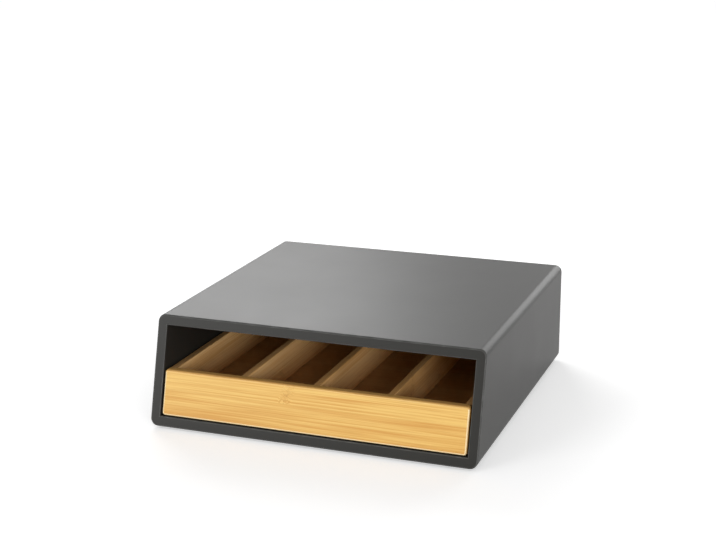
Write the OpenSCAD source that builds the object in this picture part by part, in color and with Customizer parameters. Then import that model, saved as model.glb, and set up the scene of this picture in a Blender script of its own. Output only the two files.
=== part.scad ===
// Coffee capsule dispenser: a low lacquered board carcass with a sloping open front,
// and a bamboo drawer with four compartments that slides in it.
// Millimetres, +Z up, front towards -Y. The origin is the middle of the base, where the feet stand.

/* [Carcass] */
// Width of the carcass, outside
carcass_w = 300; // [240:1:380]
// Depth of the carcass at its base
carcass_d = 300; // [240:1:380]
// Height of the carcass without its feet
carcass_h = 96; // [84:1:130]
// How far the top of the sloping front stands back from its foot
front_setback = 25; // [0:1:40]
// Thickness of the top, bottom and side boards
board_t = 9; // [8:0.5:14]
// Radius of the two long upper edges
top_edge_r = 6.5; // [2:0.5:8]
// Radius of the two long lower edges
bottom_edge_r = 7; // [2:0.5:8]

/* [Back panel] */
// Thickness of the back panel
back_t = 5; // [4:0.5:8]
// Depth of the rabbet that the back panel sits in
rabbet_depth = 4; // [3:0.5:5]

/* [Feet] */
// Diameter of a foot pad
foot_d = 16; // [10:1:24]
// Height of a foot pad
foot_h = 2; // [1:0.5:5]
// Distance of a foot's centre from the carcass sides
foot_inset = 22; // [16:1:40]
// Width of the sloping rim of a foot pad
foot_rim = 0.8; // [0.4:0.1:2]

/* [Drawer] */
// Gap between the drawer and each side board
drawer_side_gap = 1.5; // [0.5:0.25:4]
// How far the drawer front stands back from the carcass front
drawer_recess = 0.8; // [0:0.1:5]
// Running clearance under the drawer sides
drawer_run_gap = 0.2; // [0.1:0.1:1]
// Gap between the closed drawer and the back panel
drawer_stop_gap = 0.3; // [0.2:0.1:3]
// Height of the drawer front
front_h = 39.2; // [32:0.1:46]
// Gap between the carcass floor and the drawer front
front_lift = 0.8; // [0.5:0.1:3]
// Thickness of the drawer front
front_t = 7; // [7:0.5:14]
// Thickness of the drawer sides
drawer_side_t = 7; // [6:0.5:12]
// Thickness of the drawer back
drawer_back_t = 7; // [6:0.5:12]
// Thickness of the drawer bottom
drawer_bottom_t = 4; // [3:0.5:6]
// Height of the drawer bottom above the lower edge of the sides
bottom_lift = 3; // [2:0.5:5]
// Depth of the grooves that hold the drawer bottom
bottom_groove = 3; // [2:0.5:4]
// How much lower the sides, back and dividers are than the front
wall_drop = 1; // [0:0.5:6]
// Thickness of a divider
divider_t = 6; // [4:0.5:10]
// Depth of the housings that hold the divider ends
housing_depth = 2.5; // [1.5:0.5:3]

/* [Fixings] */
// Diameter of a carcass dowel
dowel_d = 5; // [4:0.5:6]
// Length of a carcass dowel
dowel_l = 20; // [14:1:30]
// How deep a carcass dowel goes into the top or bottom board
dowel_bite = 5; // [4:0.5:6]
// Distance from a joint's end to its first dowel
dowel_margin = 40; // [20:1:70]
// Dowels in each carcass joint
dowels_per_joint = 3; // [2:1:5]
// Diameter of a drawer dowel
peg_d = 4; // [3:0.5:5]
// Length of a drawer dowel
peg_l = 20; // [16:1:30]
// How deep a drawer dowel goes into the drawer front
peg_bite = 4; // [3:0.5:4.5]
// Distance of a drawer dowel from the side's top edge or from the drawer bottom
peg_margin = 7; // [5:0.5:9]
// Diameter of a back panel brad
brad_d = 1.2; // [1:0.1:1.6]
// Diameter of a brad's head
brad_head_d = 2; // [1.8:0.1:2.4]
// Thickness of a brad's head
brad_head_t = 0.6; // [0.4:0.1:1]
// Length of a brad
brad_l = 18; // [12:1:25]
// Distance of the outer brads from the carcass's inner corners
brad_margin = 30; // [15:1:60]
// Clearance round a board in its groove, housing or rabbet
panel_fit = 0.1; // [0.05:0.05:0.2]
// Radial clearance round a dowel or a brad
pin_fit = 0.05; // [0.02:0.01:0.1]
// Spare depth at the end of a blind hole
hole_relief = 0.5; // [0.2:0.1:1]

/* [Hidden] */
$fn = 64;
// Overshoot of a cut past the face that it leaves
over = 1;

// Carcass levels and inner faces
base_z = foot_h;
floor_z = base_z + board_t;
roof_z = base_z + carcass_h - board_t;
crown_z = base_z + carcass_h;
inner_x = carcass_w / 2 - board_t;
rear_y = carcass_d / 2;
back_face_y = rear_y - back_t;
top_r = min(top_edge_r, board_t - 0.5);
bottom_r = min(bottom_edge_r, board_t - 0.5);

// Sloping front: where its outer face lies at height z
slope = front_setback / carcass_h;
function front_y(z) = -carcass_d / 2 + slope * (z - base_z);

// Drawer levels and faces
drawer_x = inner_x - drawer_side_gap;
drawer_z = floor_z + drawer_run_gap;
drawer_rear_y = back_face_y - drawer_stop_gap;
front_foot_z = floor_z + front_lift;
front_top_z = front_foot_z + front_h;
wall_top_z = front_top_z - wall_drop;
front_t_y = front_t * sqrt(1 + slope * slope);
compartment_x = drawer_x - drawer_side_t;
drawer_back_face_y = drawer_rear_y - drawer_back_t;
bottom_z = drawer_z + bottom_lift;
bottom_top_z = bottom_z + drawer_bottom_t;
function drawer_face_y(z) = front_y(z) + drawer_recess;
function front_inner_y(z) = drawer_face_y(z) + front_t_y;

// Dividers: their number and their middle planes
divider_count = 3;
compartment_w = (2 * compartment_x - divider_count * divider_t) / (divider_count + 1);
function divider_mid_x(i) = -compartment_x + (i + 1) * compartment_w + (i + 0.5) * divider_t;

// Values spread evenly from low to high
function spread(count, low, high) = [for (i = [0 : count - 1]) low + (high - low) * i / (count - 1)];

// Fixings: dowel rows along the carcass joints, pegs in the drawer corners
joint_x = carcass_w / 2 - board_t / 2;
joints_z = [floor_z, roof_z];
function dowel_ys(z) = spread(dowels_per_joint, front_y(z) + dowel_margin, back_face_y - dowel_margin);
// A dowel's bite goes into the bottom or top board, and the rest into the side board
function dowel_low_z(z) = z == floor_z ? z - dowel_bite : z + dowel_bite - dowel_l;
peg_zs = spread(2, bottom_top_z + peg_margin, wall_top_z - peg_margin);
side_mid_x = drawer_x - drawer_side_t / 2;
back_mid_y = drawer_rear_y - drawer_back_t / 2;
brad_inset = rabbet_depth / 2;
brad_x = inner_x + rabbet_depth - brad_inset;
brad_low_z = floor_z - rabbet_depth + brad_inset;
brad_high_z = roof_z + rabbet_depth - brad_inset;
brad_sites = concat(
    [for (x = spread(3, brad_margin - inner_x, inner_x - brad_margin), z = [brad_low_z, brad_high_z]) [x, z]],
    [for (x = [-brad_x, brad_x]) [x, (floor_z + roof_z) / 2]]
);

lacquer = "#2b2b2a";
bamboo = "#deb064";
dark_bamboo = "#c08f4c";
beech = "#d8bd92";

// General shapes

// Prism along X from x0, with its outline in the YZ plane
module along_x(x0, width, outline) {
    translate([x0, 0, 0]) rotate([90, 0, 90]) linear_extrude(width) polygon(outline);
}

// Prism of a 2D shape in the XZ plane, along Y from y0 to y1
module along_y(y0, y1) {
    translate([0, y1, 0]) rotate([90, 0, 0]) linear_extrude(y1 - y0) children();
}

// Box between two corners
module box(low, high) {
    translate(low) cube(high - low);
}

// Pin or hole along Y
module pin_y(x, y0, y1, z, r) {
    translate([x, y0, z]) rotate([-90, 0, 0]) cylinder(h = y1 - y0, r = r);
}

// Pin or hole along X
module pin_x(x0, x1, y, z, r) {
    translate([x0, y, z]) rotate([0, 90, 0]) cylinder(h = x1 - x0, r = r);
}

// Carcass

// All that lies in front of the sloping front
module front_cut() {
    low = -over;
    high = crown_z + over;
    outer_y = -carcass_d;
    along_x(-carcass_w, 2 * carcass_w, [
        [outer_y, low], [front_y(low), low], [front_y(high), high], [outer_y, high]
    ]);
}

// The back panel's room: the panel itself, grown by gap all round
module back_room(gap) {
    x = inner_x + rabbet_depth + gap;
    box(
        [-x, back_face_y - gap, floor_z - rabbet_depth - gap],
        [x, rear_y + (gap > 0 ? over : 0), roof_z + rabbet_depth + gap]
    );
}

// Outline of the top or bottom board in the XZ plane, with the lower edge on z = 0 and rounded upper edges
module board_outline(r) {
    half = carcass_w / 2;
    intersection() {
        translate([-half, 0]) square([carcass_w, board_t]);
        union() {
            translate([-half, 0]) square([carcass_w, board_t - r]);
            translate([r - half, 0]) square([carcass_w - 2 * r, board_t]);
            for (side = [-1, 1]) translate([side * (half - r), board_t - r]) circle(r);
        }
    }
}

// Holes or dowels of the carcass joints that meet at height z
module dowel_row(z, side, r, relief) {
    for (y = dowel_ys(z))
        translate([side * joint_x, y, dowel_low_z(z) - relief]) cylinder(h = dowel_l + 2 * relief, r = r);
}

module dowel_holes(z) {
    for (side = [-1, 1]) dowel_row(z, side, dowel_d / 2 + pin_fit, hole_relief);
}

// A brad at a site on the back panel, its head flush with the back
module brad(site, grow, relief) {
    pin_y(site[0], rear_y - brad_l - relief, rear_y, site[1], brad_d / 2 + grow);
    pin_y(site[0], rear_y - brad_head_t, rear_y, site[1], brad_head_d / 2 + grow);
}

module brads(grow, relief) {
    for (site = brad_sites) brad(site, grow, relief);
}

module top_panel() {
    color(lacquer) difference() {
        translate([0, 0, roof_z]) along_y(-carcass_d / 2, rear_y) board_outline(top_r);
        front_cut();
        back_room(panel_fit);
        dowel_holes(roof_z);
        brads(pin_fit, hole_relief);
    }
}

module bottom_panel() {
    color(lacquer) difference() {
        translate([0, 0, floor_z]) mirror([0, 0, 1]) along_y(-carcass_d / 2, rear_y) board_outline(bottom_r);
        front_cut();
        back_room(panel_fit);
        dowel_holes(floor_z);
        brads(pin_fit, hole_relief);
    }
}

module side_panel(side) {
    x0 = side < 0 ? -carcass_w / 2 : inner_x;
    color(lacquer) difference() {
        along_x(x0, board_t, [
            [front_y(floor_z), floor_z], [rear_y, floor_z], [rear_y, roof_z], [front_y(roof_z), roof_z]
        ]);
        back_room(panel_fit);
        for (z = joints_z) dowel_holes(z);
        brads(pin_fit, hole_relief);
    }
}

module left_side_panel() { side_panel(-1); }
module right_side_panel() { side_panel(1); }

module back_panel() {
    color(lacquer) difference() {
        back_room(0);
        brads(pin_fit, over);
    }
}

module carcass_dowels() {
    color(beech) for (z = joints_z, side = [-1, 1]) dowel_row(z, side, dowel_d / 2, 0);
}

module back_panel_brads() {
    color("dimgray") brads(0, 0);
}

// Self-adhesive pad with a sloping rim, flat on both faces
module foot(side, end) {
    r = foot_d / 2;
    x = side * (carcass_w / 2 - foot_inset);
    y = end * (carcass_d / 2 - foot_inset);
    color("#1c1c1c") translate([x, y, 0])
        rotate_extrude() polygon([[0, 0], [r - foot_rim, 0], [r, foot_h / 2], [r, foot_h], [0, foot_h]]);
}

module foot_front_left() { foot(-1, -1); }
module foot_front_right() { foot(1, -1); }
module foot_back_left() { foot(-1, 1); }
module foot_back_right() { foot(1, 1); }

// Drawer

// The drawer bottom's room: the panel itself, grown by gap all round
module bottom_room(gap) {
    x = compartment_x + bottom_groove - panel_fit + gap;
    front = front_inner_y((bottom_z + bottom_top_z) / 2) - bottom_groove + panel_fit - gap;
    rear = drawer_back_face_y + bottom_groove - panel_fit + gap;
    box([-x, front, bottom_z - gap], [x, rear, bottom_top_z + gap]);
}

// A divider's room, from the drawer bottom up, with its ends let into the front and the back
module divider_room(i, gap, top) {
    bite = housing_depth - panel_fit + gap;
    low = bottom_top_z;
    rear = drawer_back_face_y + bite;
    along_x(divider_mid_x(i) - divider_t / 2 - gap, divider_t + 2 * gap, [
        [front_inner_y(low) - bite, low], [rear, low], [rear, top], [front_inner_y(top) - bite, top]
    ]);
}

// Housings that the divider ends stand in; they run out at the top of the drawer walls
module housings() {
    for (i = [0 : divider_count - 1]) divider_room(i, panel_fit, wall_top_z);
}

// Dowels of the drawer front, along Y across the sloping joint
module front_pegs(r, relief) {
    for (side = [-1, 1], z = peg_zs) {
        y = front_inner_y(z) - peg_bite;
        pin_y(side * side_mid_x, y - relief, y + peg_l + relief, z, r);
    }
}

// Dowels of the drawer back, through the sides and flush with them
module back_pegs(r, relief, outer) {
    for (z = peg_zs) {
        pin_x(-drawer_x - outer, peg_l - drawer_x + relief, back_mid_y, z, r);
        pin_x(drawer_x - peg_l - relief, drawer_x + outer, back_mid_y, z, r);
    }
}

module drawer_front() {
    color(bamboo) difference() {
        along_x(-drawer_x, 2 * drawer_x, [
            [drawer_face_y(front_foot_z), front_foot_z], [front_inner_y(front_foot_z), front_foot_z],
            [front_inner_y(front_top_z), front_top_z], [drawer_face_y(front_top_z), front_top_z]
        ]);
        bottom_room(panel_fit);
        housings();
        front_pegs(peg_d / 2 + pin_fit, hole_relief);
    }
}

module drawer_side(side) {
    x0 = side < 0 ? -drawer_x : compartment_x;
    color(dark_bamboo) difference() {
        along_x(x0, drawer_side_t, [
            [front_inner_y(front_foot_z), drawer_z], [drawer_rear_y, drawer_z], [drawer_rear_y, wall_top_z],
            [front_inner_y(wall_top_z), wall_top_z], [front_inner_y(front_foot_z), front_foot_z]
        ]);
        bottom_room(panel_fit);
        front_pegs(peg_d / 2 + pin_fit, hole_relief);
        back_pegs(peg_d / 2 + pin_fit, hole_relief, over);
    }
}

module drawer_left_side() { drawer_side(-1); }
module drawer_right_side() { drawer_side(1); }

module drawer_back() {
    color(dark_bamboo) difference() {
        box([-compartment_x, drawer_back_face_y, drawer_z], [compartment_x, drawer_rear_y, wall_top_z]);
        bottom_room(panel_fit);
        housings();
        back_pegs(peg_d / 2 + pin_fit, hole_relief, over);
    }
}

module drawer_bottom() {
    color(bamboo) bottom_room(0);
}

module divider(i) {
    color(dark_bamboo) divider_room(i, 0, wall_top_z);
}

module divider_left() { divider(0); }
module divider_middle() { divider(1); }
module divider_right() { divider(2); }

module drawer_front_dowels() {
    color(beech) front_pegs(peg_d / 2, 0);
}

module drawer_back_dowels() {
    color(beech) back_pegs(peg_d / 2, 0, 0);
}

top_panel();
bottom_panel();
left_side_panel();
right_side_panel();
back_panel();
carcass_dowels();
back_panel_brads();
foot_front_left();
foot_front_right();
foot_back_left();
foot_back_right();
drawer_front();
drawer_left_side();
drawer_right_side();
drawer_back();
drawer_bottom();
divider_left();
divider_middle();
divider_right();
drawer_front_dowels();
drawer_back_dowels();
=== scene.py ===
"""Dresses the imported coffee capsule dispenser: a lacquered carcass with a sliding bamboo drawer.

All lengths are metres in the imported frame: +X right, +Y to the back, +Z up, feet on z = 0.
"""

import logging
import math
from collections.abc import Callable
from dataclasses import dataclass, field
from enum import Enum, IntEnum
from functools import cache

import bmesh
import bpy
from mathutils import Matrix, Vector


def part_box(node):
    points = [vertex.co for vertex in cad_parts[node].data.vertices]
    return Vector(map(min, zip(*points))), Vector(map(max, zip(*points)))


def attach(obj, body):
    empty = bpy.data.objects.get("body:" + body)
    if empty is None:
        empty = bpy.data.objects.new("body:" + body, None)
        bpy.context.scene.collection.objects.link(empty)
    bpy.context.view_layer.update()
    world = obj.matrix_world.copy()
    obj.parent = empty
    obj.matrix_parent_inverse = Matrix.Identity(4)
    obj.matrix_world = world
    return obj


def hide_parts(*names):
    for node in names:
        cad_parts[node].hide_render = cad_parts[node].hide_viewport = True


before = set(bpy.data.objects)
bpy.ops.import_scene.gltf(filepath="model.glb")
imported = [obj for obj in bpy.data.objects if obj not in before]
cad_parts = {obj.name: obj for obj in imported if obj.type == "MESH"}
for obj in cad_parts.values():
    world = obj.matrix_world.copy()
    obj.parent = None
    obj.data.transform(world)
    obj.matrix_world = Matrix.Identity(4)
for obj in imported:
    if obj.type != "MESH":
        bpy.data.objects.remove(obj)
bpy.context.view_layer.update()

log = logging.getLogger("capsule_dispenser")

IMAGE_WIDTH_PX = 716
SENSOR_WIDTH_MM = 36.0
WHITE = (1.0, 1.0, 1.0, 1.0)
# The face attribute that marks eased edges for the finishes
EASE = "ease"
# Two coordinates closer than this are the same
TOUCH = 1e-6
# Carving leaves no edge shorter than this
SLIVER = 4e-6
# Faces that meet at a larger angle than this form a corner
CORNER_ANGLE = math.radians(25)
# Edges sharper than this stay sharp in the shading
SHARP_ANGLE = math.radians(42)
# A face looks along an axis when its normal has more than this on it
FACING = 0.5
# How much a face's area counts in the shading of its edges, of 100
AREA_WEIGHT = 100
# How many sides stand for the round of a drilled hole
HOLE_SIDES = 32

Socket = bpy.types.NodeSocket
Feed = Socket | float | tuple[float, ...]
Feeds = dict[str | int, Feed]
Colour = tuple[float, float, float, float]
Span = tuple[float, float]
Edge = bmesh.types.BMEdge
EdgeTest = Callable[[Edge], bool]


class Axis(IntEnum):
    """A row axis, by its index in a vector."""

    X = 0
    Y = 1
    Z = 2


class Grain(Enum):
    """How bamboo is laid in a board: its axes along the fibres, across the strips and through the board."""

    CROSSWISE = (Axis.X, Axis.Z, Axis.Y)
    LENGTHWISE = (Axis.Y, Axis.Z, Axis.X)
    FLAT = (Axis.X, Axis.Y, Axis.Z)


# Shader tools


class Graph:
    """A shader node tree with short calls for the nodes that the finishes use."""

    def __init__(self, tree: bpy.types.NodeTree) -> None:
        """Takes the tree that the nodes go into."""
        self.tree = tree

    def add(self, kind: str, feeds: Feeds | None = None, **settings: object) -> bpy.types.Node:
        """Adds a node.

        Args:
            kind: The node's type name.
            feeds: What goes into its inputs, by name or index.
            **settings: The node's own properties.

        Returns:
            The new node.
        """
        node = self.tree.nodes.new(kind)
        for name, value in settings.items():
            setattr(node, name, value)
        for key, value in (feeds or {}).items():
            self.feed(node.inputs[key], value)
        return node

    def feed(self, socket: Socket, value: Feed) -> None:
        """Links a socket to another, or sets its value."""
        if isinstance(value, bpy.types.NodeSocket):
            self.tree.links.new(value, socket)
        else:
            socket.default_value = value

    def math(self, operation: str, first: Feed, second: Feed = 0.0, clamp: bool = False) -> Socket:
        """Returns the result of a Math node."""
        node = self.add("ShaderNodeMath", {0: first, 1: second}, operation=operation, use_clamp=clamp)
        return node.outputs[0]

    def total(self, *terms: tuple[Feed, float]) -> Socket:
        """Returns the sum of values, each times its weight."""
        result = self.math("MULTIPLY", *terms[0])
        for value, weight in terms[1:]:
            node = self.add("ShaderNodeMath", {0: value, 1: weight, 2: result}, operation="MULTIPLY_ADD")
            result = node.outputs[0]
        return result

    def apart(self, value: Feed, middle: float) -> Socket:
        """Returns how far a value lies from a middle."""
        return self.math("ABSOLUTE", self.math("SUBTRACT", value, middle))

    def vector(self, x: Feed, y: Feed, z: Feed) -> Socket:
        """Returns a vector of three values."""
        return self.add("ShaderNodeCombineXYZ", {0: x, 1: y, 2: z}).outputs[0]

    def split(self, vector: Feed) -> list[Socket]:
        """Returns a vector's three values."""
        return list(self.add("ShaderNodeSeparateXYZ", {0: vector}).outputs)

    def noise(self, vector: Feed, scale: Feed, detail: float, distortion: float = 0.0) -> Socket:
        """Returns smooth noise around 0.5."""
        feeds = {"Vector": vector, "Scale": scale, "Detail": detail, "Distortion": distortion}
        return self.add("ShaderNodeTexNoise", feeds).outputs[0]

    def grain(self, vector: Feed, along: float, across: float, detail: float) -> Socket:
        """Returns noise with one scale along the fibres and another across and through them."""
        feeds = {0: vector, 1: (along, across, across)}
        drawn_out = self.add("ShaderNodeVectorMath", feeds, operation="MULTIPLY").outputs[0]
        return self.noise(drawn_out, 1.0, detail)

    def step(self, value: Feed, low: float, high: Feed, start: float = 0.0, end: float = 1.0) -> Socket:
        """Returns a smooth step from start to end as value passes from low to high."""
        feeds = {"Value": value, "From Min": low, "From Max": high, "To Min": start, "To Max": end}
        return self.add("ShaderNodeMapRange", feeds, interpolation_type="SMOOTHSTEP").outputs[0]

    def fade(self, value: Feed, low: float, high: Feed) -> Socket:
        """Returns a smooth step from 1 down to 0 as value passes from low to high."""
        return self.step(value, low, high, start=1.0, end=0.0)

    def blend(self, amount: Feed, first: Feed, second: Feed) -> Socket:
        """Returns two colours mixed."""
        return self.add("ShaderNodeMix", {0: amount, 6: first, 7: second}, data_type="RGBA").outputs[2]

    def bump(self, height: Feed, strength: float, distance: float) -> Socket:
        """Returns a normal bent by a height."""
        feeds = {"Height": height, "Strength": strength, "Distance": distance}
        return self.add("ShaderNodeBump", feeds).outputs[0]


FLOAT = "NodeSocketFloat"
VECTOR = "NodeSocketVector"
COLOUR = "NodeSocketColor"
PATTERN_OUTPUTS = {"Color": COLOUR, "Roughness": FLOAT, "Height": FLOAT}
Group = tuple[Graph, bpy.types.NodeOutputs, bpy.types.NodeInputs]


def shader_group(name: str, inputs: dict[str, str]) -> Group:
    """Starts a shader node group that gives a colour, a roughness and a height.

    Args:
        name: The group's name.
        inputs: The kind of each input socket, by the socket's name.

    Returns:
        The group's graph, the sockets that it is given and those that it gives back.
    """
    tree = bpy.data.node_groups.new(name, "ShaderNodeTree")
    for direction, sockets in (("INPUT", inputs), ("OUTPUT", PATTERN_OUTPUTS)):
        for label, kind in sockets.items():
            tree.interface.new_socket(name=label, in_out=direction, socket_type=kind)
    graph = Graph(tree)
    return graph, graph.add("NodeGroupInput").outputs, graph.add("NodeGroupOutput").inputs


@cache
def bamboo_group() -> bpy.types.NodeTree:
    """Builds the group for laminated bamboo: strips, fibres, knuckles, glue lines, end grain, eased edges
    painted pale as sanded wear and a painted highlight, and painted shade on upward faces.

    Returns:
        A group that reads a vector along the fibres, across the strips and through the board.
    """
    graph, given, result = shader_group(
        "laminated_bamboo",
        {
            "Vector": VECTOR,
            "End Grain": FLOAT,
            "Edge": FLOAT,
            "Upward Shade": FLOAT,
            "Strip Width": FLOAT,
            "Seed": FLOAT,
            "Knuckle Shift": FLOAT,
            "Pale": COLOUR,
            "Deep": COLOUR,
            "Fibre": COLOUR,
            "Sanded And Highlit": COLOUR,
            "Upper Shade Colour": COLOUR,
        },
    )
    along, across, through = graph.split(given["Vector"])
    seed, width = given["Seed"], given["Strip Width"]

    # Strips: a number for each, where a point lies in its strip, and two chance values for it
    golden, silver = 0.618034, 0.754878
    chance_seed, drift_seed = 3.7, 1.3
    glue_width = 0.00025
    place = graph.math("ADD", graph.math("DIVIDE", across, width), seed)
    number = graph.math("FLOOR", place)
    inside = graph.math("FRACT", place)
    chance = graph.math("FRACT", graph.total((number, golden), (seed, chance_seed)))
    drift = graph.math("FRACT", graph.total((number, silver), (seed, drift_seed)))
    rim = graph.math("MINIMUM", inside, graph.math("SUBTRACT", 1.0, inside))
    glue = graph.fade(rim, 0.0, graph.math("DIVIDE", glue_width, width))

    # Knuckles: one faint figure in each stretch of a strip, staggered from strip to strip
    period, stagger = 0.26, 0.3
    sway_scale = 150.0
    bow = graph.math("POWER", graph.apart(inside, 0.5), 2.0)
    swayed = graph.vector(graph.math("MULTIPLY", across, sway_scale), number, seed)
    sway = graph.noise(swayed, scale=1.0, detail=1.0)
    turn = graph.total((given["Knuckle Shift"], 1 / period), (along, 1 / period), (number, stagger))
    gap = graph.math("MULTIPLY", graph.math("SUBTRACT", graph.math("FRACT", turn), 0.5), period)
    gap = graph.total((gap, 1.0), (sway, 0.006), (bow, 0.016), (1.0, -0.0045))
    reach = graph.math("ABSOLUTE", gap)
    clear = graph.step(drift, low=0.1, high=0.6)
    ring = graph.math("MULTIPLY", clear, graph.fade(reach, low=0.0001, high=0.0012))
    halo = graph.math("MULTIPLY", clear, graph.fade(reach, low=0.001, high=0.0080))

    # Fibres: noise drawn out along the strip, shifted from strip to strip, that curls at a knuckle
    wave_turns, strip_shift = 760.0, 3.0
    curl = graph.grain(given["Vector"], along=360.0, across=290.0, detail=2.0)
    wave = graph.math("SINE", graph.math("MULTIPLY", gap, wave_turns))
    swirl = graph.math("MULTIPLY", halo, graph.total((curl, 0.014), (wave, 0.0012), (1.0, -0.0070)))
    shifted = graph.total((along, 1.0), (drift, strip_shift))
    fibre = graph.vector(shifted, graph.math("ADD", across, swirl), through)
    cloud = graph.grain(fibre, along=7.0, across=60.0, detail=2.0)
    streak = graph.grain(fibre, along=9.0, across=400.0, detail=3.0)
    line = graph.grain(fibre, along=10.0, across=880.0, detail=1.0)
    hair = graph.grain(fibre, along=18.0, across=1300.0, detail=2.0)
    dash = graph.step(graph.grain(fibre, along=38.0, across=2100.0, detail=1.0), low=0.6, high=0.74)

    # Colour: pale to deep by the tone of strip and fibres, with dark dashes, glue lines and knuckles
    tone = graph.total(
        (chance, 0.8), (cloud, 0.6), (streak, 1.15), (line, 2.3), (hair, 0.8), (halo, 0.12), (1.0, -2.28),
    )
    colour = graph.blend(graph.math("MAXIMUM", tone, 0.0, clamp=True), given["Pale"], given["Deep"])
    whorl = graph.grain(given["Vector"], along=170.0, across=260.0, detail=0.0)
    loops = graph.math("MULTIPLY", halo, graph.fade(graph.apart(whorl, 0.5), low=0.0, high=0.09))
    dark = graph.total((dash, 0.18), (glue, 0.2), (ring, 0.08), (loops, 0.26))
    colour = graph.blend(graph.math("MINIMUM", dark, 1.0), colour, given["Fibre"])

    # Eased edges painted pale, partly sanded wear and partly a painted highlight; upward faces darkened as
    # painted shade
    edge_highlight_strength, upper_shade_strength = 0.75, 0.65
    colour = graph.blend(graph.math("MULTIPLY", given["Edge"], edge_highlight_strength), colour, given["Sanded And Highlit"])
    # Painted shade: faces that look up blend towards a dark brown, for the shade that falls on tops
    colour = graph.blend(graph.math("MULTIPLY", given["Upward Shade"], upper_shade_strength), colour, given["Upper Shade Colour"])

    # End grain: the cut fibre bundles as dots on a browner ground
    dots = graph.noise(graph.vector(0.0, across, through), scale=1500.0, detail=1.0)
    ends = graph.blend(graph.step(dots, low=0.42, high=0.62), given["Deep"], given["Fibre"])
    graph.feed(result["Color"], graph.blend(given["End Grain"], colour, ends))
    graph.feed(result["Roughness"], graph.total((streak, 0.12), (hair, 0.1), (1.0, 0.31)))
    graph.feed(result["Height"], graph.total((hair, 0.35), (streak, 0.3), (glue, -0.8), (dash, -0.3)))
    return graph.tree


@cache
def lacquer_group() -> bpy.types.NodeTree:
    """Builds the group for sprayed lacquer: soft clouds, fine orange peel and eased edges painted paler,
    partly rubbed wear and partly a painted highlight.

    Returns:
        A group that reads a position and how far a face is an eased edge.
    """
    graph, given, result = shader_group(
        "sprayed_lacquer",
        {"Vector": VECTOR, "Edge": FLOAT, "Ground": COLOUR, "Rubbed And Highlit": COLOUR, "Gloss": FLOAT},
    )
    cloudiness = 0.13
    cloud = graph.noise(given["Vector"], scale=7.0, detail=3.0)
    smudge = graph.noise(given["Vector"], scale=24.0, detail=2.0, distortion=0.3)
    peel = graph.noise(given["Vector"], scale=700.0, detail=0.0)
    patchy = graph.step(graph.noise(given["Vector"], scale=90.0, detail=3.0), low=0.35, high=0.75)
    # Eased edges blend to the paler colour: partly rubbed wear, partly a painted highlight
    rubbed_and_highlit = graph.math("MULTIPLY", given["Edge"], graph.total((patchy, 0.3), (1.0, 0.3)))
    shade = graph.total((cloud, 0.5), (smudge, 0.25), (1.0, -0.2))
    tint = graph.math("MULTIPLY", shade, cloudiness, clamp=True)
    ground = graph.blend(tint, given["Ground"], given["Rubbed And Highlit"])
    graph.feed(result["Color"], graph.blend(rubbed_and_highlit, ground, given["Rubbed And Highlit"]))
    rough = graph.total((given["Gloss"], 1.0), (cloud, 0.06), (smudge, 0.04), (rubbed_and_highlit, 0.06), (1.0, -0.05))
    graph.feed(result["Roughness"], rough)
    graph.feed(result["Height"], graph.total((peel, 1.0), (smudge, 0.2)))
    return graph.tree


@cache
def speckle_group() -> bpy.types.NodeTree:
    """Builds the group for a plain material with a cloudy, speckled surface.

    Returns:
        A group that mixes two colours by cloud and speckle noise.
    """
    graph, given, result = shader_group(
        "cloud_and_speckle",
        {
            "Vector": VECTOR,
            "Cloud Scale": FLOAT,
            "Speckle Scale": FLOAT,
            "Low": COLOUR,
            "High": COLOUR,
            "Gloss": FLOAT,
        },
    )
    cloud = graph.noise(given["Vector"], given["Cloud Scale"], detail=3.0)
    speckle = graph.noise(given["Vector"], given["Speckle Scale"], detail=2.0)
    amount = graph.math("ADD", graph.total((cloud, 0.9), (speckle, 0.7)), -0.3, clamp=True)
    graph.feed(result["Color"], graph.blend(amount, given["Low"], given["High"]))
    rough = graph.total((given["Gloss"], 1.0), (cloud, 0.12), (speckle, 0.1), (1.0, -0.11))
    graph.feed(result["Roughness"], rough)
    graph.feed(result["Height"], graph.total((speckle, 1.0), (cloud, 0.3)))
    return graph.tree


class MaterialDraft:
    """A new material with its Principled shader and one pattern group that feeds it."""

    def __init__(self, name: str) -> None:
        """Starts a material with that name."""
        self.material = bpy.data.materials.new(name)
        self.material.use_nodes = True
        self.graph = Graph(self.material.node_tree)
        self.shader = self.material.node_tree.nodes["Principled BSDF"]
        self.places = self.graph.add("ShaderNodeTexCoord").outputs

    def eased(self) -> Socket:
        """Returns how far a face is an eased edge."""
        return self.graph.add("ShaderNodeAttribute", attribute_name=EASE).outputs["Fac"]

    def pattern(self, group: bpy.types.NodeTree, feeds: Feeds, bump: float, depth: float) -> None:
        """Feeds the shader from a pattern group.

        Args:
            group: The group.
            feeds: What goes into the group.
            bump: How strongly the group's height bends the normal.
            depth: The height's real depth.
        """
        outputs = self.graph.add("ShaderNodeGroup", feeds, node_tree=group).outputs
        self.graph.feed(self.shader.inputs["Base Color"], outputs["Color"])
        self.graph.feed(self.shader.inputs["Roughness"], outputs["Roughness"])
        self.graph.feed(self.shader.inputs["Normal"], self.graph.bump(outputs["Height"], bump, depth))

    def constant(self, **values: float | Colour) -> None:
        """Sets plain values on the shader's sockets, with _ for a space in a name."""
        for name, value in values.items():
            self.shader.inputs[name.replace("_", " ")].default_value = value


# Finishes


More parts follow.
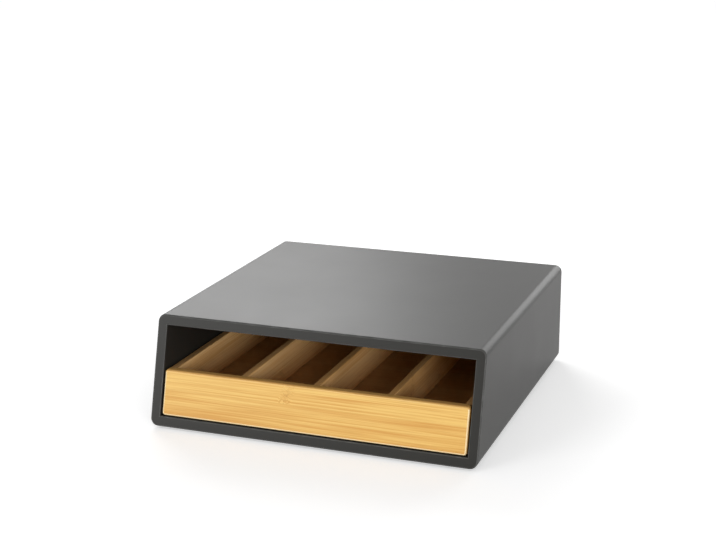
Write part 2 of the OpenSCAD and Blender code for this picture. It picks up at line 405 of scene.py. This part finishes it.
@dataclass(frozen=True)
class Lacquer:
    """Satin black lacquer on fibreboard."""

    ground: Colour = (0.0184, 0.0176, 0.0152, 1.0)
    # Paler colour of eased edges and light clouds: partly rubbed wear, partly a painted highlight
    rubbed_and_highlit: Colour = (0.130, 0.130, 0.126, 1.0)
    gloss: float = 0.38
    shine: float = 0.18
    bump: float = 0.04
    depth: float = 0.0003

    def make(self, name: str) -> bpy.types.Material:
        """Returns the finish as a material with that name."""
        draft = MaterialDraft(name)
        draft.constant(Specular_IOR_Level=self.shine)
        feeds = {
            "Vector": draft.places["Object"],
            "Edge": draft.eased(),
            "Ground": self.ground,
            "Rubbed And Highlit": self.rubbed_and_highlit,
            "Gloss": self.gloss,
        }
        draft.pattern(lacquer_group(), feeds, self.bump, self.depth)
        return draft.material


@dataclass(frozen=True)
class Bamboo:
    """Laminated bamboo under a clear varnish.

    The last three values say how far a face looks along the fibres or up as its look changes.
    """

    grain: Grain
    seed: float
    strip_width: float = 0.0195
    knuckle_shift: float = 0.0
    pale: Colour = (0.795, 0.515, 0.152, 1.0)
    deep: Colour = (0.645, 0.332, 0.076, 1.0)
    fibre: Colour = (0.40, 0.175, 0.035, 1.0)
    # Pale colour of eased edges: partly sanded wear, partly a painted highlight
    sanded_and_highlit: Colour = (0.93, 0.76, 0.46, 1.0)
    # Dark colour of upward faces: painted shade
    upper_shade_colour: Colour = (0.36, 0.165, 0.050, 1.0)
    shine: float = 0.25
    bump: float = 0.12
    depth: float = 0.0004
    end_grain_sets_in: Span = (0.7, 0.92)
    edge_highlight_ends: Span = (0.22, 0.42)
    upper_shade_sets_in: Span = (0.35, 0.85)

    @classmethod
    def inside(cls, grain: Grain, seed: float) -> "Bamboo":
        """Returns the bamboo of the boards inside the drawer, in lighter colours than the front's: painted
        light that lifts the shade in the tray and stands in for the bounce light between the boards.
        """
        return cls(grain, seed, pale=(0.95, 0.605, 0.272, 1.0), deep=(0.80, 0.445, 0.160, 1.0))

    def make(self, name: str) -> bpy.types.Material:
        """Returns the finish as a material with that name."""
        draft = MaterialDraft(name)
        draft.constant(Specular_IOR_Level=self.shine)
        graph = draft.graph
        place = graph.split(draft.places["Object"])
        normal = graph.split(draft.places["Normal"])
        axes = self.grain.value
        upward = normal[Axis.Z]
        feeds = {
            "Vector": graph.vector(*(place[axis] for axis in axes)),
            "End Grain": graph.step(graph.math("ABSOLUTE", normal[axes[0]]), *self.end_grain_sets_in),
            # Eased edges lose the painted highlight on faces that look up
            "Edge": graph.math("MULTIPLY", draft.eased(), graph.fade(upward, *self.edge_highlight_ends)),
            # Painted shade on faces that look up
            "Upward Shade": graph.step(upward, *self.upper_shade_sets_in),
            "Strip Width": self.strip_width,
            "Seed": self.seed,
            "Knuckle Shift": self.knuckle_shift,
            "Pale": self.pale,
            "Deep": self.deep,
            "Fibre": self.fibre,
            "Sanded And Highlit": self.sanded_and_highlit,
            "Upper Shade Colour": self.upper_shade_colour,
        }
        draft.pattern(bamboo_group(), feeds, self.bump, self.depth)
        return draft.material


@dataclass(frozen=True)
class Speckled:
    """A plain material with a cloudy, speckled surface, such as rubber, beech or steel."""

    low: Colour
    high: Colour
    gloss: float
    cloud_scale: float
    speckle_scale: float
    metallic: float = 0.0
    bump: float = 0.25
    depth: float = 0.0003

    def make(self, name: str) -> bpy.types.Material:
        """Returns the finish as a material with that name."""
        draft = MaterialDraft(name)
        draft.constant(Metallic=self.metallic)
        feeds = {
            "Vector": draft.places["Object"],
            "Cloud Scale": self.cloud_scale,
            "Speckle Scale": self.speckle_scale,
            "Low": self.low,
            "High": self.high,
            "Gloss": self.gloss,
        }
        draft.pattern(speckle_group(), feeds, self.bump, self.depth)
        return draft.material


RUBBER = Speckled(
    low=(0.012, 0.012, 0.012, 1.0), high=(0.03, 0.03, 0.03, 1.0), gloss=0.8,
    cloud_scale=90.0, speckle_scale=2200.0, bump=0.5,
)
BEECH = Speckled(
    low=(0.50, 0.32, 0.16, 1.0), high=(0.72, 0.52, 0.32, 1.0), gloss=0.6,
    cloud_scale=900.0, speckle_scale=4200.0,
)
STEEL = Speckled(
    low=(0.30, 0.30, 0.30, 1.0), high=(0.56, 0.56, 0.55, 1.0), gloss=0.38,
    cloud_scale=700.0, speckle_scale=5200.0, metallic=1.0,
)


# Workshop: shapes from the frame's own boxes


@dataclass(frozen=True)
class Box:
    """An upright box between two corners."""

    low: Vector
    high: Vector

    @classmethod
    def of(cls, node: str) -> "Box":
        """Returns the box of a node of the frame."""
        return cls(*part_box(node))

    @property
    def middle(self) -> Vector:
        """The box's centre."""
        return (self.low + self.high) / 2

    @property
    def size(self) -> Vector:
        """The box's three sides."""
        return self.high - self.low

    def grown(self, gap: float) -> "Box":
        """Returns the box with a gap added all round."""
        margin = Vector((gap, gap, gap))
        return Box(self.low - margin, self.high + margin)


@dataclass(frozen=True)
class Slope:
    """A plane that leans back as it rises."""

    foot_y: float
    foot_z: float
    lean: float

    def y(self, z: float) -> float:
        """Returns where the plane lies at height z."""
        return self.foot_y + self.lean * (z - self.foot_z)

    def holds(self, edge: Edge) -> bool:
        """Says whether an edge lies in the plane."""
        return all(abs(vert.co.y - self.y(vert.co.z)) < TOUCH for vert in edge.verts)


@dataclass(frozen=True)
class Rounding:
    """How an edge is rounded, and whether the finish shows it as an eased one."""

    radius: float
    segments: int
    shown: bool = True


class Carve(Enum):
    """What a tool's shape does to a piece."""

    TAKE_OUT = "DIFFERENCE"
    KEEP = "INTERSECT"


def lies_at(edge: Edge, axis: Axis, *values: float) -> bool:
    """Says whether both ends of an edge have one of the values on an axis."""
    return any(all(abs(vert.co[axis] - value) < TOUCH for vert in edge.verts) for value in values)


def is_corner(edge: Edge) -> bool:
    """Says whether two faces meet at an angle along an edge."""
    return len(edge.link_faces) == 2 and edge.calc_face_angle() > CORNER_ANGLE


def middle_of(edge: Edge) -> Vector:
    """Returns an edge's middle point."""
    return (edge.verts[0].co + edge.verts[1].co) / 2


class Blank:
    """A board being shaped. Its eased edges are marked in a face attribute."""

    def __init__(self, mesh: bmesh.types.BMesh) -> None:
        """Takes over a mesh, with the marks that it has."""
        self.mesh = mesh
        marks = mesh.faces.layers.float
        self.eased = marks[EASE] if EASE in marks else marks.new(EASE)

    @classmethod
    def block(cls, box: Box) -> "Blank":
        """Starts from a plain block that fills a box."""
        mesh = bmesh.new()
        place = Matrix.Translation(box.middle) @ Matrix.Diagonal((*box.size, 1.0))
        bmesh.ops.create_cube(mesh, size=1.0, matrix=place)
        return cls(mesh)

    @classmethod
    def bar(cls, box: Box, axis: Axis, sides: int, grow: float = 0.0) -> "Blank":
        """Starts from a round bar or disc that fills a box.

        Args:
            box: The bar's box.
            axis: The axis along the bar.
            sides: How many sides stand for its round.
            grow: What is added to its radius and to each end.

        Returns:
            The bar.
        """
        mesh = bmesh.new()
        radius = min(box.size[each] for each in Axis if each is not axis) / 2 + grow
        turn = Vector((0, 0, 1)).rotation_difference(Vector([float(each is axis) for each in Axis]))
        bmesh.ops.create_cone(
            mesh, cap_ends=True, segments=sides, radius1=radius, radius2=radius,
            depth=box.size[axis] + 2 * grow,
            matrix=Matrix.Translation(box.middle) @ turn.to_matrix().to_4x4(),
        )
        return cls(mesh)

    @classmethod
    def reopen(cls, piece: bpy.types.Object) -> "Blank":
        """Takes a carved piece back for more shaping, without the slivers of the carving."""
        mesh = bmesh.new()
        mesh.from_mesh(piece.data)
        blank = cls(mesh)
        blank.clean()
        return blank

    def clean(self) -> None:
        """Merges points that lie together and drops faces with no area."""
        bmesh.ops.remove_doubles(self.mesh, verts=self.mesh.verts[:], dist=SLIVER)
        bmesh.ops.dissolve_degenerate(self.mesh, edges=self.mesh.edges[:], dist=SLIVER)

    def hollow(self, wall: float) -> None:
        """Opens the block from front to back, with a wall left all round."""
        self.mesh.normal_update()
        ends = [face for face in self.mesh.faces if abs(face.normal.y) > FACING]
        bmesh.ops.inset_region(self.mesh, faces=ends, thickness=wall, use_even_offset=True)
        rims = [edge for face in ends for edge in face.edges]
        bmesh.ops.delete(self.mesh, geom=ends, context="FACES_ONLY")
        bmesh.ops.bridge_loops(self.mesh, edges=rims)
        bmesh.ops.recalc_face_normals(self.mesh, faces=self.mesh.faces[:])

    def split_level(self, z: float) -> None:
        """Cuts every face along a level plane, with nothing taken away."""
        up = Vector((0, 0, 1))
        geometry = [*self.mesh.verts, *self.mesh.edges, *self.mesh.faces]
        bmesh.ops.bisect_plane(self.mesh, geom=geometry, dist=TOUCH, plane_co=up * z, plane_no=up)

    def lean_front(self, slope: Slope, above: float = -math.inf) -> None:
        """Moves the front end of the board onto a slope, where it is higher than a level."""
        front = min(vert.co.y for vert in self.mesh.verts)
        for vert in self.mesh.verts:
            if vert.co.y < front + TOUCH and vert.co.z > above:
                vert.co.y = slope.y(vert.co.z)

    def lean_all(self, slope: Slope) -> None:
        """Leans the whole board back like a slope, about the slope's foot."""
        for vert in self.mesh.verts:
            vert.co.y += slope.y(vert.co.z) - slope.foot_y

    def ease(self, test: EdgeTest, rounding: Rounding) -> None:
        """Rounds the edges that a test picks.

        Args:
            test: Says which edges.
            rounding: How they are rounded.
        """
        self.mesh.normal_update()
        edges = [edge for edge in self.mesh.edges if test(edge)]
        made = bmesh.ops.bevel(
            self.mesh, geom=edges, offset=rounding.radius, offset_type="OFFSET", segments=rounding.segments,
            profile=0.5, affect="EDGES", material=-1, clamp_overlap=True,
        )
        if rounding.shown:
            for face in made["faces"]:
                face[self.eased] = 1.0

    def give_back(self, piece: bpy.types.Object) -> None:
        """Puts the shape back into the piece that it was reopened from."""
        self.clean()
        self.mesh.to_mesh(piece.data)
        self.mesh.free()

    def finish(self, name: str) -> bpy.types.Object:
        """Returns the board as an object in the scene."""
        bmesh.ops.recalc_face_normals(self.mesh, faces=self.mesh.faces[:])
        return to_object(self.mesh, name)


def to_object(shape: bmesh.types.BMesh, name: str) -> bpy.types.Object:
    """Puts a shape into the scene, and frees the shape.

    Args:
        shape: The shape.
        name: The name of the new object and its mesh.

    Returns:
        The object.
    """
    mesh = bpy.data.meshes.new(name)
    shape.to_mesh(mesh)
    shape.free()
    piece = bpy.data.objects.new(name, mesh)
    bpy.context.scene.collection.objects.link(piece)
    return piece


def carve(piece: bpy.types.Object, tool: Blank, way: Carve = Carve.TAKE_OUT) -> None:
    """Carves a piece with a tool's shape, and uses up the tool.

    Args:
        piece: The piece, which gets a new mesh.
        tool: The tool, a closed shape.
        way: Whether the shape is taken out or kept.
    """
    holder = to_object(tool.mesh, "tool")
    step = piece.modifiers.new("carve", "BOOLEAN")
    step.operation = way.value
    step.solver = "EXACT"
    step.object = holder
    depsgraph = bpy.context.evaluated_depsgraph_get()
    result = bpy.data.meshes.new_from_object(piece.evaluated_get(depsgraph))
    piece.modifiers.clear()
    used_up = (piece.data, holder.data)
    piece.data = result
    bpy.data.objects.remove(holder)
    for mesh in used_up:
        bpy.data.meshes.remove(mesh)
    result.name = piece.name


def solids_of(node: str) -> list[Box]:
    """Finds the separate solids in a node of the frame.

    Args:
        node: The node's name.

    Returns:
        The box of each solid, always in the same order.
    """
    mesh = bmesh.new()
    mesh.from_mesh(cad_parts[node].data)
    bmesh.ops.remove_doubles(mesh, verts=mesh.verts[:], dist=TOUCH)
    boxes: list[Box] = []
    done: set[bmesh.types.BMVert] = set()
    for start in mesh.verts:
        if start in done:
            continue
        done.add(start)
        reached = [start]
        for vert in reached:
            beside = [link.other_vert(vert) for link in vert.link_edges]
            fresh = [other for other in beside if other not in done]
            done.update(fresh)
            reached.extend(fresh)
        extents = [[vert.co[axis] for vert in reached] for axis in Axis]
        boxes.append(Box(*(Vector([pick(values) for values in extents]) for pick in (min, max))))
    mesh.free()
    return boxes


def drill(piece: bpy.types.Object, node: str, fit: float) -> None:
    """Drills the holes for pins into a piece.

    Args:
        piece: The piece.
        node: The node that holds the pins.
        fit: How much wider than its pin a hole is all round.
    """
    for pin in solids_of(node):
        longest = max(Axis, key=lambda axis: pin.size[axis])
        carve(piece, Blank.bar(pin, longest, HOLE_SIDES, fit))


def set_down(piece: bpy.types.Object, body: str, node: str, material: bpy.types.Material) -> None:
    """Gives a finished piece its shading, finish and place in the frame.

    Args:
        piece: The new piece.
        body: The body that it rides on.
        node: The node that it stands for.
        material: Its finish.
    """
    piece.data.materials.clear()
    piece.data.materials.append(material)
    piece.data.shade_smooth()
    piece.data.set_sharp_from_angle(angle=SHARP_ANGLE)
    even = piece.modifiers.new("even_normals", "WEIGHTED_NORMAL")
    even.keep_sharp = True
    even.weight = AREA_WEIGHT
    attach(piece, body)
    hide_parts(node)
    log.info("%s rides on %s and stands for %s", piece.name, body, node)


def dress(node: str, material: bpy.types.Material) -> None:
    """Gives a node of the frame that keeps its own shape a new finish."""
    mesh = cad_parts[node].data
    mesh.materials.clear()
    mesh.materials.append(material)
    log.info("%s keeps its shape, in %s", node, material.name)


# The object


@dataclass
class Carcass:
    """The lacquered box: top, bottom and two sides of board, a back panel, dowels, brads and feet."""

    body: str = "carcass"
    slot: str = "lacquer"
    foot_slot: str = "foot_rubber"
    top_edge: Rounding = Rounding(0.0065, 14, shown=False)
    bottom_edge: Rounding = Rounding(0.0070, 10, shown=False)
    front_edge: Rounding = Rounding(0.0013, 5)
    mouth_edge: Rounding = Rounding(0.0008, 4)
    rear_edge: Rounding = Rounding(0.0006, 3)
    seam_edge: Rounding = Rounding(0.0005, 3)
    foot_edge: Rounding = Rounding(0.0007, 4, shown=False)
    saw_margin: float = 0.010
    rabbet_fit: float = 0.0001
    foot_sides: int = 64
    foot_ring: float = 0.0022
    foot_dish: float = 0.0004
    top: Box = field(default_factory=lambda: Box.of("top_panel"))
    bottom: Box = field(default_factory=lambda: Box.of("bottom_panel"))
    side: Box = field(default_factory=lambda: Box.of("right_side_panel"))
    back: Box = field(default_factory=lambda: Box.of("back_panel"))

    @property
    def slope(self) -> Slope:
        """The carcass's sloping front."""
        rise = self.top.low.z - self.bottom.low.z
        return Slope(self.bottom.low.y, self.bottom.low.z, (self.top.low.y - self.bottom.low.y) / rise)

    def build(self) -> None:
        """Makes and dresses every piece of the carcass."""
        lacquer = Lacquer().make("black_lacquer")
        self.board("top_board", "top_panel", lacquer, above=self.saw_margin)
        self.board("bottom_board", "bottom_panel", lacquer, below=self.saw_margin)
        self.board("left_side_board", "left_side_panel", lacquer)
        self.board("right_side_board", "right_side_panel", lacquer)
        self.make_back(lacquer)
        dress("carcass_dowels", BEECH.make("carcass_dowel_beech"))
        dress("back_panel_brads", STEEL.make("brad_steel"))
        rubber = RUBBER.make("foot_rubber")
        for end in ("front", "back"):
            for side in ("left", "right"):
                self.foot(f"foot_pad_{end}_{side}", f"foot_{end}_{side}", rubber)

    def ring(self) -> Blank:
        """Makes the four boards in one, so that their rounded edges run on through the joints.

        Returns:
            The ring, open at the front and the back.
        """
        slope = self.slope
        outside = Box(self.bottom.low, self.top.high)
        wall = self.side.size.x
        blank = Blank.block(outside)
        blank.hollow(wall)

        def long_edge(edge: Edge, z: float) -> bool:
            """Picks the two long outer edges at a height."""
            return lies_at(edge, Axis.Z, z) and lies_at(edge, Axis.X, outside.low.x, outside.high.x)

        def on_outside(edge: Edge) -> bool:
            """Picks the edges that lie further out than the middle of the wall."""
            middle = middle_of(edge) - outside.middle
            return any(abs(middle[axis]) > outside.size[axis] / 2 - wall / 2 for axis in (Axis.X, Axis.Z))

        def at_front(edge: Edge) -> bool:
            """Picks the corners of the sloping front."""
            return is_corner(edge) and slope.holds(edge)

        def at_rear(edge: Edge) -> bool:
            """Picks the outer corners of the back."""
            return is_corner(edge) and lies_at(edge, Axis.Y, outside.high.y) and on_outside(edge)

        blank.ease(lambda edge: long_edge(edge, outside.high.z), self.top_edge)
        blank.ease(lambda edge: long_edge(edge, outside.low.z), self.bottom_edge)
        blank.lean_front(slope)
        blank.ease(lambda edge: at_front(edge) and on_outside(edge), self.front_edge)
        blank.ease(lambda edge: at_front(edge) and not on_outside(edge), self.mouth_edge)
        blank.ease(at_rear, self.rear_edge)
        return blank

    def board(
        self, name: str, node: str, finish: bpy.types.Material, below: float = 0.0, above: float = 0.0,
    ) -> None:
        """Saws one board out of the ring at its joints, and cuts the rabbet for the back panel.

        Args:
            name: The new piece's name.
            node: The node that it stands for.
            finish: Its material.
            below: How far the saw stays clear of the board's lower face, or 0 at a joint.
            above: How far it stays clear of the upper face, or 0 at a joint.
        """
        box = Box.of(node)
        margin = self.saw_margin
        # A side board is sawn flush with the mouth, so that nothing of the mouth's roof comes with it
        leftward = margin if box.low.x < 0 else 0.0
        rightward = margin if box.high.x > 0 else 0.0
        low = box.low - Vector((leftward, margin, below))
        high = box.high + Vector((rightward, margin, above))
        rabbet = self.back.grown(self.rabbet_fit)
        room = Box(rabbet.low, rabbet.high + Vector((0, self.back.size.y, 0)))
        piece = self.ring().finish(name)
        carve(piece, Blank.block(Box(low, high)), Carve.KEEP)
        carve(piece, Blank.block(room))

        def seam(edge: Edge) -> bool:
            """Picks the rear rim of the rabbet."""
            on_rim = any(lies_at(edge, axis, room.low[axis], room.high[axis]) for axis in (Axis.X, Axis.Z))
            return on_rim and is_corner(edge) and lies_at(edge, Axis.Y, self.back.high.y)

        blank = Blank.reopen(piece)
        blank.ease(seam, self.seam_edge)
        blank.give_back(piece)
        set_down(piece, self.body, node, finish)

    def make_back(self, finish: bpy.types.Material) -> None:
        """Makes the back panel, its rear edges eased and its brad holes drilled.

        Args:
            finish: Its material.
        """
        blank = Blank.block(self.back)
        blank.ease(lambda edge: lies_at(edge, Axis.Y, self.back.high.y), self.seam_edge)
        piece = blank.finish("back_board")
        drill(piece, "back_panel_brads", self.rabbet_fit)
        set_down(piece, self.body, "back_panel", finish)

    def foot(self, name: str, node: str, finish: bpy.types.Material) -> None:
        """Makes a foot pad: a disc with a rounded lower rim and a dished sole.

        Args:
            name: The new piece's name.
            node: The node that it stands for.
            finish: Its material.
        """
        box = Box.of(node)
        blank = Blank.bar(box, Axis.Z, self.foot_sides)
        blank.ease(lambda edge: lies_at(edge, Axis.Z, box.low.z), self.foot_edge)
        faces = blank.mesh.faces
        sole = [face for face in faces if all(lies_at(edge, Axis.Z, box.low.z) for edge in face.edges)]
        bmesh.ops.inset_region(blank.mesh, faces=sole, thickness=self.foot_ring, depth=0.0)
        bmesh.ops.inset_region(blank.mesh, faces=sole, thickness=self.foot_dish, depth=-self.foot_dish)
        set_down(blank.finish(name), self.body, node, finish)


@dataclass
class Drawer:
    """The bamboo drawer: a leaning front, two sides, a back, a bottom, three dividers and its dowels.

    It leans like the carcass's front. Each seed says which bamboo a board is cut from.
    """

    lean: float
    body: str = "drawer"
    slot: str = "bamboo"
    corner: Rounding = Rounding(0.0025, 6, shown=False)
    face_edge: Rounding = Rounding(0.0016, 5)
    rear_edge: Rounding = Rounding(0.0010, 3, shown=False)
    wall_edge: Rounding = Rounding(0.0011, 4, shown=False)
    joint_fit: float = 0.0001
    face_seed: float = 0.231
    face_knuckle_shift: float = -0.0025
    wall_seeds: tuple[tuple[str, float], ...] = (("left", 2.7), ("right", 5.2))
    divider_seeds: tuple[tuple[str, float], ...] = (("left", 8.4), ("middle", 11.9), ("right", 14.3))
    floor_seed: float = 17.6
    back_seed: float = 20.8
    front: Box = field(default_factory=lambda: Box.of("drawer_front"))
    floor: Box = field(default_factory=lambda: Box.of("drawer_bottom"))

    def build(self) -> None:
        """Makes and dresses every piece of the drawer."""
        self.make_front()
        for side, seed in self.wall_seeds:
            self.make_side(f"drawer_{side}_wall", f"drawer_{side}_side", seed)
        self.make_back()
        for place, seed in self.divider_seeds:
            self.make_divider(f"{place}_divider", f"divider_{place}", seed)
        dress("drawer_bottom", Bamboo.inside(Grain.FLAT, self.floor_seed).make("bamboo_floor"))
        beech = BEECH.make("drawer_dowel_beech")
        dress("drawer_front_dowels", beech)
        dress("drawer_back_dowels", beech)

    def slope_at(self, y: float, z: float) -> Slope:
        """Returns the drawer's slope through a point."""
        return Slope(y, z, self.lean)

    def cut_groove(self, piece: bpy.types.Object) -> None:
        """Cuts the groove that holds the drawer bottom."""
        carve(piece, Blank.block(self.floor.grown(self.joint_fit)))

    def cut_housings(self, piece: bpy.types.Object) -> None:
        """Cuts the housings that hold the divider ends.

        Args:
            piece: The front or the back of the drawer.
        """
        for place, _ in self.divider_seeds:
            box = Box.of(f"divider_{place}")
            cutter = Blank.block(box.grown(self.joint_fit))
            cutter.lean_front(self.slope_at(box.low.y - self.joint_fit, box.low.z))
            carve(piece, cutter)

    def make_front(self) -> None:
        """Makes the front: a leaning board with rounded edges, housings and a groove."""
        box = self.front
        thickness = box.size.y - self.lean * box.size.z
        face = self.slope_at(box.low.y, box.low.z)
        rear = self.slope_at(box.low.y + thickness, box.low.z)
        blank = Blank.block(Box(box.low, Vector((box.high.x, rear.foot_y, box.high.z))))
        blank.lean_all(face)
        blank.ease(lambda edge: not face.holds(edge) and not rear.holds(edge), self.corner)
        blank.ease(face.holds, self.face_edge)
        blank.ease(rear.holds, self.rear_edge)
        piece = blank.finish("drawer_face")
        self.cut_groove(piece)
        self.cut_housings(piece)
        bamboo = Bamboo(Grain.CROSSWISE, self.face_seed, knuckle_shift=self.face_knuckle_shift)
        set_down(piece, self.body, "drawer_front", bamboo.make("bamboo_face"))

    def make_side(self, name: str, node: str, seed: float) -> None:
        """Makes a side wall, with a groove inside and holes for the dowels at its back.

        Args:
            name: The new piece's name.
            node: The node that it stands for.
            seed: Which bamboo it is cut from.
        """
        box = Box.of(node)
        joint_z = self.front.low.z
        blank = Blank.block(box)
        blank.split_level(joint_z)
        blank.lean_front(self.slope_at(box.low.y, joint_z), above=joint_z)
        self.ease_wall(blank, box, rear=True)
        piece = blank.finish(name)
        self.cut_groove(piece)
        drill(piece, "drawer_back_dowels", self.joint_fit)
        finish = Bamboo.inside(Grain.LENGTHWISE, seed).make(f"bamboo_{name}")
        set_down(piece, self.body, node, finish)

    def make_back(self) -> None:
        """Makes the back wall, with housings and a groove."""
        box = Box.of("drawer_back")
        blank = Blank.block(box)
        self.ease_wall(blank, box)
        piece = blank.finish("drawer_back_wall")
        self.cut_groove(piece)
        self.cut_housings(piece)
        finish = Bamboo.inside(Grain.CROSSWISE, self.back_seed).make("bamboo_back_wall")
        set_down(piece, self.body, "drawer_back", finish)

    def make_divider(self, name: str, node: str, seed: float) -> None:
        """Makes a divider, its front end leaning with the drawer front.

        Args:
            name: The new piece's name.
            node: The node that it stands for.
            seed: Which bamboo it is cut from.
        """
        box = Box.of(node)
        blank = Blank.block(box)
        blank.lean_front(self.slope_at(box.low.y, box.low.z))
        self.ease_wall(blank, box)
        finish = Bamboo.inside(Grain.LENGTHWISE, seed).make(f"bamboo_{name}")
        set_down(blank.finish(name), self.body, node, finish)

    def ease_wall(self, blank: Blank, box: Box, rear: bool = False) -> None:
        """Rounds a wall's long top edges, and the upright edges of its back end where they show.

        Args:
            blank: The wall.
            box: Its box.
            rear: Whether the back end shows.
        """
        long_way = Axis.X if box.size.x > box.size.y else Axis.Y

        def shows(edge: Edge) -> bool:
            """Picks the edges to round."""
            run = abs(edge.verts[0].co[long_way] - edge.verts[1].co[long_way])
            top = lies_at(edge, Axis.Z, box.high.z) and run > box.size.z
            end = rear and is_corner(edge) and lies_at(edge, Axis.Y, box.high.y)
            return top or (end and middle_of(edge).z > box.low.z)

        blank.ease(shows, self.wall_edge)


# The studio


def orbit(azimuth: float, elevation: float) -> Vector:
    """Returns a direction from the object, by degrees to the right of its front and above level."""
    turn, tilt = math.radians(azimuth), math.radians(elevation)
    return Vector((math.sin(turn) * math.cos(tilt), -math.cos(turn) * math.cos(tilt), math.sin(tilt)))


@dataclass(frozen=True)
class Lamp:
    """A soft area lamp on an orbit about the object, at which it looks."""

    name: str
    azimuth: float
    elevation: float
    distance: float
    width: float
    height: float
    power: float
    aim: tuple[float, float, float] = (0.0, 0.0, 0.05)

    def hang(self) -> None:
        """Puts the lamp in the scene."""
        data = bpy.data.lights.new(self.name, "AREA")
        data.shape = "RECTANGLE"
        data.size = self.width
        data.size_y = self.height
        data.energy = self.power
        lamp = bpy.data.objects.new(self.name, data)
        away = orbit(self.azimuth, self.elevation)
        lamp.location = Vector(self.aim) + away * self.distance
        lamp.rotation_euler = (-away).to_track_quat("-Z", "Y").to_euler()
        lamp.visible_camera = False
        bpy.context.scene.collection.objects.link(lamp)


@dataclass(frozen=True)
class Camera:
    """The photograph's viewpoint: an orbit about a target, with a focal length in image pixels."""

    azimuth: float = 20.365
    elevation: float = 15.550
    roll: float = -0.274
    distance: float = 1.3451
    focal_px: float = 1455.1
    target: tuple[float, float, float] = (-0.00859, 0.0, 0.11813)

    def place(self) -> None:
        """Puts the camera in the scene."""
        roll = math.radians(self.roll)
        back = orbit(self.azimuth, self.elevation)
        right = Vector((0, 0, 1)).cross(back).normalized()
        up = back.cross(right)
        rolled_right = right * math.cos(roll) + up * math.sin(roll)
        rolled_up = up * math.cos(roll) - right * math.sin(roll)
        data = bpy.data.cameras.new("camera")
        data.sensor_fit = "HORIZONTAL"
        data.sensor_width = SENSOR_WIDTH_MM
        data.lens = self.focal_px / IMAGE_WIDTH_PX * SENSOR_WIDTH_MM
        camera = bpy.data.objects.new("camera", data)
        stand = Matrix((rolled_right, rolled_up, back)).transposed().to_4x4()
        stand.translation = Vector(self.target) + back * self.distance
        camera.matrix_world = stand
        bpy.context.scene.collection.objects.link(camera)
        bpy.context.scene.camera = camera


@dataclass
class Studio:
    """A white floor and surround with soft lamps."""

    floor_size: float = 40.0
    floor_colour: Colour = (0.88, 0.88, 0.88, 1.0)
    floor_roughness: float = 0.9
    near_glow: float = 0.41
    far_glow: float = 0.67
    near_reach: float = 0.30
    far_reach: float = 1.6
    surround: float = 0.38
    lamps: tuple[Lamp, ...] = (
        Lamp("key_lamp", azimuth=-32.0, elevation=13.0, distance=2.2, width=1.0, height=0.8, power=15.8),
        Lamp("fill_lamp", azimuth=35.0, elevation=10.5, distance=2.3, width=0.8, height=0.65, power=19.2),
        Lamp("side_lamp", azimuth=72.0, elevation=6.0, distance=2.0, width=0.5, height=0.8, power=6.0),
        Lamp("back_lamp", azimuth=-144.0, elevation=31.0, distance=2.8, width=1.6, height=1.2, power=33.0),
        Lamp("rim_lamp", azimuth=168.0, elevation=17.0, distance=2.6, width=1.4, height=1.3, power=18.0),
    )

    def build(self) -> None:
        """Makes the floor, the surround, the lamps and the camera."""
        bpy.context.scene.view_settings.view_transform = "Standard"
        self.make_floor()
        self.make_surround()
        for lamp in self.lamps:
            lamp.hang()
        Camera().place()

    def seen_directly(self, graph: Graph) -> Socket:
        """Returns 1 for camera, glossy and transmission rays, and 0 for the rest."""
        path = graph.add("ShaderNodeLightPath").outputs
        shiny = graph.math("MAXIMUM", path["Is Glossy Ray"], path["Is Transmission Ray"])
        return graph.math("MAXIMUM", path["Is Camera Ray"], shiny)

    def make_floor(self) -> None:
        """Makes the floor, which fades to white away from the object and keeps its shadow."""
        mesh = bmesh.new()
        bmesh.ops.create_grid(mesh, x_segments=1, y_segments=1, size=self.floor_size / 2)
        floor = to_object(mesh, "floor")
        draft = MaterialDraft("floor_white")
        draft.constant(
            Base_Color=self.floor_colour, Roughness=self.floor_roughness, Specular_IOR_Level=0.0,
            Emission_Color=WHITE,
        )
        graph = draft.graph
        length = graph.add("ShaderNodeVectorMath", {0: draft.places["Object"]}, operation="LENGTH")
        away = length.outputs["Value"]
        glow = graph.step(away, self.near_reach, self.far_reach, self.near_glow, self.far_glow)
        glow = graph.math("MULTIPLY", self.seen_directly(graph), glow)
        graph.feed(draft.shader.inputs["Emission Strength"], glow)
        floor.data.materials.append(draft.material)

    def make_surround(self) -> None:
        """Makes the world: white where it is seen, dimmer as a light."""
        world = bpy.data.worlds.new("surround")
        bpy.context.scene.world = world
        world.use_nodes = True
        graph = Graph(world.node_tree)
        shader = world.node_tree.nodes["Background"]
        shader.inputs["Color"].default_value = WHITE
        strength = graph.step(self.seen_directly(graph), 0.0, 1.0, self.surround, 1.0)
        graph.feed(shader.inputs["Strength"], strength)


def main() -> None:
    """Builds the studio, the carcass and the drawer, in that order."""
    logging.basicConfig(level=logging.INFO, format="%(name)s: %(message)s")
    Studio().build()
    carcass = Carcass()
    carcass.build()
    Drawer(carcass.slope.lean).build()


if __name__ == "__main__":
    main()
